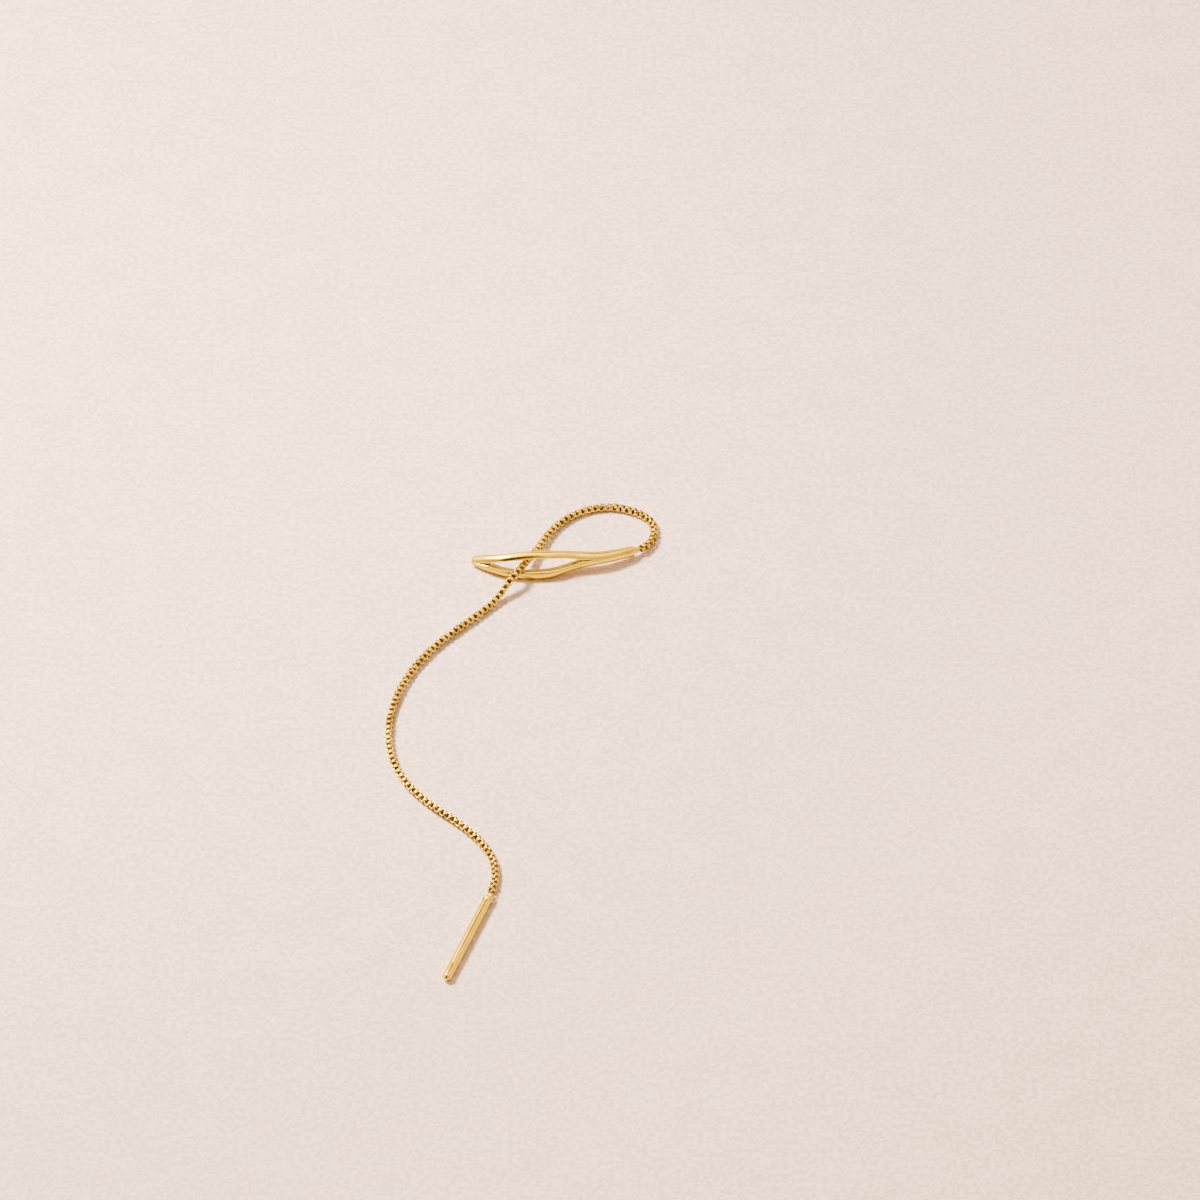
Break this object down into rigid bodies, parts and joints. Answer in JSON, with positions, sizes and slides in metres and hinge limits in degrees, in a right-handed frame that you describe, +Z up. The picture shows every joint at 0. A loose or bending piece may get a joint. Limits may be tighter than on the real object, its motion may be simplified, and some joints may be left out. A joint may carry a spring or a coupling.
{
  "type": "threader earring",
  "caption": "Threader earring lying on a surface: a bowed needle eye, a thin box chain threaded through it in a loop, and a slim threader bar.",
  "frame": {"origin": "middle of the earring's outline, on the surface that it lies on", "axes": "+Z up from the surface, +Y from the threader bar towards the chain's far loop, +X from the far tip of the needle eye towards its stem"},
  "size_m": [0.027, 0.0659, 0.0028],
  "materials": {
    "needle_eye": "satin gold plate",
    "box_chain": "polished gold plate",
    "threader_bar": "satin gold plate"
  },
  "bodies": {
    "root": {"needle_eye": "needle_eye", "box_chain": "box_chain", "threader_bar": "threader_bar"}
  },
  "joints": []
}
